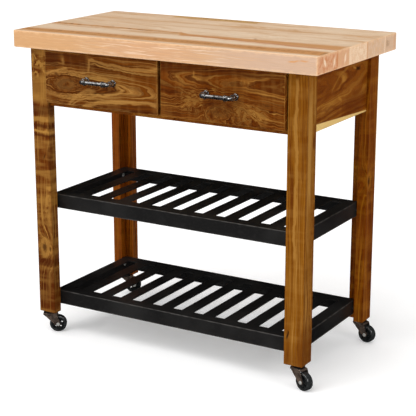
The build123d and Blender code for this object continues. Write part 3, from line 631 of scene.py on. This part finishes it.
def stained_board(name, axes, middle, half, tones, knots=(), heart=(0, 0, -80), taper=0.1, waver=0.007,
                  wild=0.012, seed=0.0, marks=(), side_marks=(), sap=None, edge=("dark", 0.35),
                  curl_and_sheen=0.2, rings=0.15, lines=0.4, rim=0.55, core=0.85):
    """A stained board's material. Its axes name what lies along the grain, across the face and through it.

    Tones are pale, plain and dark. A knot is place, size and lift. The curl, rings, lines, rim and core
    strengths say how strongly those marks show; the curl is curly figure with its shimmer painted in,
    partly a painted sheen. The strip's height and slope place a strip of pale sapwood.
    """
    material, tree, shader = new_finish(name, lacquer_gloss)
    shader.inputs["Specular Tint"].default_value = lacquer_amber
    coordinates = tree.nodes.new("ShaderNodeTexCoord").outputs["Object"]
    parts = dict(zip("XYZ", split(tree, vectors(tree, "SUBTRACT", coordinates, tuple(middle)))))
    along, across, deep = (parts[axis] for axis in axes)
    place = join(tree, along, across, deep)
    own_half = tuple(float(half["XYZ".index(axis)]) for axis in axes)
    values = {"Place": place, "Seed": seed, "Heart": tuple(mm * part for part in heart), "Taper": taper,
              "Waver": waver, "Wild": wild}
    for k, (knot_place, size, lift) in enumerate(knots):
        values[f"Knot {k}"] = tuple(mm * part for part in knot_place)
        values[f"Size {k}"] = mm * size
        values[f"Lift {k}"] = mm * lift
    grain = use_group(tree, wood_grain, values)
    inks = dict(zip(("pale", "plain", "dark"), tones)) | {"black": knot_black, "sap": sapwood_and_highlight}
    masks = {"Line": grain["Line"], "Mottle": grain["Mottle"]}
    colour = mix(tree, slide(tree, grain["Tone"], *dark_stain), inks["plain"], inks["dark"])
    colour = mix(tree, slide(tree, grain["Tone"], *pale_stain), colour, inks["pale"])
    colour = mix(tree, part_of(tree, grain["Line"], lines), colour, inks["pale"])
    colour = mix(tree, part_of(tree, grain["Vein"], vein_share), colour, inks["dark"])
    colour = mix(tree, part_of(tree, grain["Ring"], rings), colour, inks["dark"])
    # The pale curl across the grain is curly figure with its shimmer painted in: partly a painted sheen.
    colour = mix(tree, part_of(tree, grain["Curl And Sheen"], curl_and_sheen), colour, inks["pale"])

    # Marks wander a little. Side marks lie in the board's other broad face.
    drift = maths(tree, "SUBTRACT", noise(tree, scaled(tree, place, 22, 22, 22), 3.0), 0.5)
    drift = part_of(tree, drift, board_drift)
    frayed = vectors(tree, "ADD", place, join(tree, drift, drift, 0.0))
    colour = draw_marks(tree, frayed, colour, marks, inks, masks)
    if side_marks:
        x, y, z = split(tree, frayed)
        colour = draw_marks(tree, join(tree, x, z, y), colour, side_marks, inks, masks)

    near_knot = maths(tree, "MULTIPLY", part_of(tree, grain["Near Knot"], knot_share), grain["Mottle"])
    colour = mix(tree, near_knot, colour, inks["dark"])
    colour = mix(tree, part_of(tree, grain["Rim"], rim), colour, inks["pale"])
    colour = mix(tree, part_of(tree, grain["Core"], core), colour, inks["black"])
    colour = mix(tree, part_of(tree, grain["Pore"], pore_share), colour, inks["dark"])
    if sap is not None:
        sap_height, sap_slope = sap
        level = maths(tree, "SUBTRACT", across, maths(tree, "MULTIPLY", along, sap_slope))
        level = maths(tree, "ADD", level, part_of(tree, grain["Fibre"], 0.002))
        colour = mix(tree, slide(tree, level, sap_height + 0.003, sap_height), colour, inks["sap"])
    fibre = slide(tree, grain["Fibre"], *stain_fibre)
    colour = mix(tree, 1.0, colour, join(tree, fibre, fibre, fibre), "MULTIPLY")
    edge_ink, edge_strength = edge
    edge_band = use_group(tree, board_edge, {"Place": place, "Half": own_half, "Width": worn_edge})["Edge"]
    feed(tree, shader.inputs["Base Color"], mix(tree, part_of(tree, edge_band, edge_strength), colour, inks[edge_ink]))
    rough = maths(tree, "MULTIPLY_ADD", grain["Fibre"], 0.14, 0.34)
    feed(tree, shader.inputs["Roughness"], maths(tree, "ADD", rough, part_of(tree, edge_band, 0.1)))
    height = maths(tree, "SUBTRACT", part_of(tree, grain["Fibre"], 0.6), grain["Pore"])
    height = maths(tree, "SUBTRACT", height, part_of(tree, grain["Core"], 1.5))
    add_bump(tree, shader, height, depth=0.16 * mm, strength=0.55)
    return material


# The faces that a mark may stay on, by their distance from the leg's middle, and the half width
# that covers a whole face.
front_face, right_face = {"face": -28}, {"face": 28}
whole_leg = 60
leg_boards = {
    "leg_front_left": {
        "tones": (shade(160, 114, 50), shade(94, 41, 0), shade(66, 20, 0)),
        "knots": [((-196, -1, -28), 14, 24), ((-199, 18, -28), 6, 8)],
        "core": 0.6, "seed": 1.3, "heart": (0, 30, -70), "curl_and_sheen": 0.55,
        "marks": [
            # The narrow pale and dark bands across the grain are curly figure with its shimmer painted in, partly a
            # painted sheen.
            band(310, 378, whole_leg, 0.9, "pale", mottled),
            band(240, 300, whole_leg, 0.45, "pale"),
            band(203, 232, whole_leg, 0.6, "dark", {"fade": 10}),
            band(182, 198, whole_leg, 0.7, "pale", {"fade": 5}),
            band(164, 175, whole_leg, 0.7, "dark", {"fade": 6}),
            band(151, 157, whole_leg, 0.95, "pale", {"fade": 3}),
            band(139, 147, whole_leg, 0.7, "dark", {"fade": 5}),
            ((-110, -10, 18), (0, 22, 10), 8, 0.7, "pale", mottled),
            band(-252, -230, whole_leg, 0.7, "dark", {"fade": 8}),
            band(-399, -260, whole_leg, 0.45, "dark", {"fade": 40}),
            ((-225, -10, 20), (-170, 16, 24), 0, 0.7, "pale", mottled),
            ((78, 10, 3), (90, 12, 3), 0, 0.9, "black"),
        ],
    },
    "leg_front_right": {
        "tones": (shade(157, 111, 48), shade(128, 77, 10), shade(92, 42, 1)),
        "knots": [((209, 60, 14), 9, 6)], "seed": 2.9, "heart": (0, -70, -60), "curl_and_sheen": 0.2,
        "marks": [
            ((-100, -3, 6), (380, -2, 7), 2, 0.7, "pale", front_face),
            ((-324, -20, 3), (-304, -19, 3), 0, 0.95, "black", front_face),
            ((-330, 6, 10), (20, 12, 8), -4, 0.45, "pale", broken),
            ((120, 18, 8), (380, 22, 8), 0, 0.4, "dark", front_face),
            band(-430, -350, whole_leg, 0.35, "dark", front_face | {"fade": 60}),
        ],
        "side_marks": [
            ((60, -8, 14), (330, -8, 14), 0, 0.9, "pale", right_face | {"fade": 70}),
            ((196, 13, 7), (224, 14, 7), 0, 0.95, "dark", right_face),
            ((190, 20, 10), (260, 18, 8), 0, 0.5, "dark", right_face),
            ((-399, 18, 20), (60, 16, 16), 0, 0.5, "dark", mottled),
            band(-430, -290, whole_leg, 0.6, "dark", right_face | {"fade": 90}),
        ],
    },
    "leg_back_right": {
        "tones": (shade(156, 98, 20), shade(114, 53, 1), shade(70, 22, 0)),
        "knots": [((29, 28, -16), 12, 20)], "seed": 4.1, "heart": (0, 40, -60), "curl_and_sheen": 0.3,
        "side_marks": [
            # A pale strip along the back edge of the right face: a painted highlight, in the sapwood colour.
            ((60, 27, 6), (420, 27, 5), 0, 0.6, "sap", right_face | {"fade": 50}),
            ((210, 10, 10), (399, 6, 8), 0, 0.5, "pale", broken),
            ((10, -10, 18), (74, -6, 12), 0, 0.8, "pale", mottled),
        ],
    },
    "leg_back_left": {
        "tones": (shade(158, 94, 14), shade(138, 66, 6), shade(60, 24, 1)),
        "seed": 5.7, "heart": (0, 50, -30), "curl_and_sheen": 0.2,
    },
}
for leg, figure in leg_boards.items():
    middle, half = middle_and_half(leg)
    paint(stained_board(f"stained_{leg}", "ZXY", middle, half, taper=0.03, waver=0.004, **figure), leg)


# Aprons, rails and divider, plain boards set back between the legs, stained like them. A strip of
# pale sapwood runs along the bottom of the side aprons.
apron_tones = (shade(152, 100, 32), shade(118, 61, 4), shade(92, 38, 1))
apron_sap = (-0.0715, -0.05)
apron_marks = [
    ((4, 36, 12), (28, 34, 12), 0, 0.9, "pale"),
    ((-76, 0, 8), (8, 40, 9), 14, 0.5, "pale", broken),
    ((-60, 10, 5), (40, 60, 6), 10, 0.45, "pale"),
    ((88, 49, 7), (116, 46, 8), 0, 0.9, "black"),
    ((72, 54, 5), (92, 50, 5), 0, 0.9, "pale"),
    ((-18, -14, 6), (4, -22, 6), 0, 0.8, "pale"),
    ((20, -50, 40), (200, -30, 40), 0, 0.5, "dark", {"fade": 60}),
    ((-170, 62, 8), (170, 74, 10), 0, 0.5, "dark"),
    ((-150, 30, 6), (60, 20, 5), 8, 0.5, "pale", broken),
    ((-100, -36, 6), (80, -50, 6), 4, 0.5, "dark"),
    ((-120, -8, 5), (30, 2, 4), 6, 0.5, "dark"),
]
plain_boards = {
    "back_apron": {
        "axes": "XZY", "tones": leg_boards["leg_front_left"]["tones"], "seed": 6.2,
        "knots": [((-210, 10, 0), 14, 12), ((170, -30, 0), 9, 6)], "heart": (0, 0, -30), "taper": 0.12,
    },
    "front_lower_rail": {"axes": "XZY", "tones": apron_tones, "seed": 9.1},
    "front_upper_rail": {"axes": "XZY", "tones": apron_tones, "seed": 9.7},
    "drawer_divider": {"axes": "ZXY", "tones": apron_tones, "seed": 9.9},
}
for side, seed in (("left", 3.4), ("right", 8.6)):
    plain_boards[f"side_apron_{side}"] = {
        "axes": "YZX", "tones": apron_tones, "seed": seed, "marks": apron_marks, "sap": apron_sap,
        "heart": (0, 30, -70), "taper": 0.06, "waver": 0.006, "curl_and_sheen": 0.1,
    }
for board, figure in plain_boards.items():
    middle, half = middle_and_half(board)
    paint(stained_board(f"stained_{board}", middle=middle, half=half, **figure), board)


# Drawer fronts, rustic alder boards cut beside knots, eased all round, stained and lacquered.
# The left one has rings round a knot at its left; the right one has a dark burl under its pull.
drawer_boards = {
    "left_drawer_front": {
        "tones": (shade(170, 123, 60), shade(103, 51, 3), shade(60, 19, 0)),
        "knots": [((-120, -17, 0), 17, -22), ((-98, -6, 0), 8, -8)], "core": 0.5, "rim": 0.2,
        "seed": 0.6, "heart": (-120, -17, -2), "taper": 0.12, "waver": 0.007, "wild": 0.02,
        "rings": 0.45, "curl_and_sheen": 0.12, "lines": 0.65,
        "marks": [
            ((-36, 58, 5), (188, 48, 8), -8, 0.5, "pale"),
            ((-36, 56, 12), (188, 46, 16), -8, 0.8, "pale", broken),
            ((-30, 48, 3), (188, 36, 4), -6, 0.5, "pale"),
            ((-188, 8, 4), (-111, 28, 5), 2, 0.5, "pale"),
            ((-108, -72, 8), (-15, -27, 8), 12, 0.45, "pale"),
            ((-108, -66, 16), (0, -24, 12), 12, 0.7, "pale", broken),
            ((-100, -74, 3), (30, -38, 3), 10, 0.45, "pale"),
            ((-60, -74, 8), (188, -48, 8), 10, 0.5, "pale"),
            ((-60, -68, 14), (188, -44, 14), 10, 0.8, "pale", broken),
            ((-128, 48, 16), (-122, 49, 16), 0, 0.4, "pale", {"fade": 6}),
            ((-39, 43, 24), (-33, 43, 24), 0, 0.5, "pale", {"fade": 6}),
            ((-188, 50, 26), (-140, 54, 30), 0, 0.5, "dark"),
            ((-118, 54, 22), (-46, 52, 22), 0, 0.35, "dark"),
            ((-165, -17, 12), (-80, -15, 10), 0, 0.7, "dark", broken),
            ((-184, -12, 42), (-56, -8, 38), 0, 0.5, "dark", mottled),
            ((-160, -20, 26), (-84, -14, 22), 0, 0.35, "dark"),
            ((-40, 12, 5), (80, -17, 6), 9, 0.55, "pale"),
            ((-24, -40, 5), (80, -17, 6), -8, 0.5, "pale"),
            ((-34, 4, 4), (58, -16, 4), 6, 0.7, "dark"),
            ((-20, -32, 4), (58, -16, 4), -5, 0.7, "dark"),
            ((110, 0, 40), (188, 10, 40), 0, 0.35, "plain"),
        ],
    },
    "right_drawer_front": {
        "tones": (shade(160, 112, 48), shade(101, 47, 2), shade(64, 20, 0)),
        "knots": [((-1, -42, 0), 17, 56), ((-88, -26, 0), 12, 16), ((84, -40, 0), 13, 18)],
        "core": 0.3, "rim": 0.15, "seed": 7.9, "heart": (60, 36, -40), "taper": -0.05,
        "waver": 0.005, "wild": 0.03, "rings": 0.35, "curl_and_sheen": 0.15,
        "marks": [
            ((-26, 15, 10), (-14, 15, 8), 0, 0.9, "pale", mottled),
            ((59, 38, 9), (99, 37, 4), 0, 0.7, "pale", mottled),
            ((-121, -20, 34), (-55, -22, 34), 0, 0.9, "pale", mottled),
            ((39, -36, 30), (129, -46, 36), 0, 0.9, "pale", mottled),
            ((39, -24, 24), (120, -44, 26), 0, 0.8, "pale", broken),
            ((-118, -14, 24), (-60, -26, 24), 0, 0.8, "pale", broken),
            ((60, -30, 9), (84, -34, 9), 0, 0.7, "dark", mottled),
            ((-100, -36, 8), (-80, -38, 8), 0, 0.7, "dark", mottled),
            ((-44, -42, 30), (36, -42, 30), 0, 0.6, "dark", mottled),
            ((-30, -42, 24), (26, -42, 24), 0, 0.4, "dark"),
            ((60, -62, 4), (188, -20, 4), -6, 0.6, "pale", broken),
            ((-188, 56, 14), (188, 62, 10), 4, 0.5, "dark"),
            ((-188, 32, 6), (-60, 36, 5), 4, 0.5, "pale", broken),
            ((-86, 48, 10), (-84, 48, 10), 0, 0.7, "pale", {"fade": 4}),
        ],
    },
}
for front, figure in drawer_boards.items():
    middle, half = middle_and_half(front)
    paint(stained_board(f"stained_{front}", "XZY", middle, half, edge=("pale", 0.4), **figure), front)


# Inner boards: drawer boxes, runners, battens and corner blocks, pale birch under a clear sealer.
# None of them shows with the drawers shut.
birch_tones = (shade(222, 194, 150), shade(206, 174, 126), shade(176, 138, 92))
inner_boards = {"centre_runner_beam": "YZX", "side_runner_battens": "YZX", "top_fixing_blocks": "YZX"}
for side in ("left", "right"):
    for board, axes in (("box_front", "XZY"), ("box_back", "XZY"), ("box_sides", "YZX"), ("bottom", "XYZ")):
        inner_boards[f"{side}_drawer_{board}"] = axes
for number, (board, axes) in enumerate(inner_boards.items()):
    middle, half = middle_and_half(board)
    paint(stained_board(f"birch_{board}", axes, middle, half, birch_tones, seed=11.0 + number, curl_and_sheen=0.1), board)


# Steel shelves, mitred angle frames with flat slats welded between them, coated in satin black
# powder with a fine orange-peel texture.
shelf_gloss = 0.3
shelf_black = shade(24, 23, 23)
shelf_dust = shade(36, 35, 34)
# A paler grey painted along the frame's outer bends: a painted highlight.
shelf_bend_highlight = shade(96, 92, 88)
bend_width = 0.0032


def powder_coat(name, frame_name):
    """Black powder coat: fine dimples, faint dusty clouds that dull its sheen, and a paler grey painted
    along the outer bends, a painted highlight."""
    material, tree, shader = new_finish(name, shelf_gloss)
    place = tree.nodes.new("ShaderNodeTexCoord").outputs["Object"]
    cloud = noise(tree, scaled(tree, place, 9, 9, 9), 4.0)
    speck = noise(tree, scaled(tree, place, 420, 420, 420), 2.0)
    grit = noise(tree, scaled(tree, place, 170, 170, 170), 3.0, 0.6)
    colour = mix(tree, slide(tree, cloud, 0.4, 0.75), shelf_black, shelf_dust)
    colour = mix(tree, slide(tree, grit, 0.45, 0.75, 0.0, 0.8), colour, shelf_dust)
    middle, half = middle_and_half(frame_name)
    inside = vectors(tree, "SUBTRACT", place, tuple(middle))
    outline = {"Place": inside, "Half": tuple(half.tolist()), "Width": bend_width}
    # The frame's outer bends turn paler grey: a painted highlight.
    bend = use_group(tree, board_edge, outline)["Edge"]
    feed(tree, shader.inputs["Base Color"], mix(tree, part_of(tree, bend, 0.5), colour, shelf_bend_highlight))
    feed(tree, shader.inputs["Roughness"], slide(tree, cloud, 0.3, 0.7, 0.36, 0.48))
    add_bump(tree, shader, speck, depth=0.08 * mm, strength=0.4)
    return material


for shelf in ("middle_shelf", "lower_shelf"):
    paint(powder_coat(f"{shelf}_powder_coat", f"{shelf}_frame"), f"{shelf}_frame", f"{shelf}_slats")


# Slides with their ball cages, screws, stem sockets and axles: pressed or turned steel, plated with
# zinc that is cloudy and finely scratched.
def plated_metal(name, base, tarnish, metallic, rough, cloud_waves=60.0, scratch=0.25, gloss=0.5):
    """Plated, lacquered or moulded: cloudy tarnish, fine scratches and uneven gloss."""
    material, tree, shader = new_finish(name, gloss)
    place = tree.nodes.new("ShaderNodeTexCoord").outputs["Object"]
    cloud = noise(tree, scaled(tree, place, cloud_waves, cloud_waves, cloud_waves), 4.0, 0.6)
    hair = noise(tree, scaled(tree, place, 300, 2200, 900), 2.0)
    feed(tree, shader.inputs["Base Color"], mix(tree, slide(tree, cloud, 0.38, 0.68), base, tarnish))
    shader.inputs["Metallic"].default_value = metallic
    rough_value = maths(tree, "MULTIPLY_ADD", cloud, 0.2, rough)
    feed(tree, shader.inputs["Roughness"], maths(tree, "ADD", rough_value, part_of(tree, hair, scratch * 0.2)))
    relief = maths(tree, "ADD", part_of(tree, cloud, 0.7), part_of(tree, hair, 0.3))
    add_bump(tree, shader, relief, depth=0.12 * mm, strength=scratch)
    return material


zinc = plated_metal("zinc_plate", shade(192, 193, 188), shade(170, 171, 166), metallic=0.45, rough=0.3)
paint(zinc, "top_fixing_screws", "shelf_screws", "cabinet_slides", "caster_sockets",
      "left_drawer_slides", "right_drawer_slides", "left_ball_cages", "right_ball_cages",
      "left_pull_screws", "right_pull_screws")


# Pipe pulls, cast elbows on a short pipe, screwed on from inside the drawer. Antique pewter with
# clouds of dark tarnish.
pewter = plated_metal("antique_pewter", shade(172, 171, 170), shade(70, 69, 68),
                      metallic=0.95, rough=0.1, cloud_waves=140.0, scratch=0.5)
paint(pewter, "left_pull_pipe", "left_pull_elbows", "right_pull_pipe", "right_pull_elbows")


# Casters: black moulded wheels with a dark grey tread, held by pressed bronze forks on plain axles,
# under races and stems oxidised black. Black nylon rings space the shelves from the legs.
race_black = plated_metal("race_black_oxide", shade(26, 26, 26), shade(40, 39, 38), metallic=0.6, rough=0.25)
fork_bronze = plated_metal("fork_bronze_lacquer", shade(158, 138, 124), shade(92, 78, 70), metallic=0.75, rough=0.08)
wheel_black = plated_metal("wheel_moulding", shade(26, 28, 28), shade(42, 44, 44),
                           metallic=0.0, rough=0.06, cloud_waves=90.0, scratch=0.2, gloss=0.8)
tread_grey = plated_metal("tread_rubber", shade(36, 38, 38), shade(48, 50, 50),
                          metallic=0.0, rough=0.08, cloud_waves=90.0, scratch=0.2, gloss=0.9)
spacer_black = plated_metal("spacer_nylon", shade(30, 30, 30), shade(44, 44, 44), metallic=0.0, rough=0.4)
paint(race_black, "caster_stems")
for corner in ("front_left", "front_right", "back_left", "back_right"):
    paint(fork_bronze, f"caster_fork_{corner}")
    paint(zinc, f"caster_axle_{corner}")
    paint(wheel_black, f"caster_wheel_{corner}")
    paint(tread_grey, f"caster_tread_{corner}")
paint(spacer_black, "shelf_spacers")
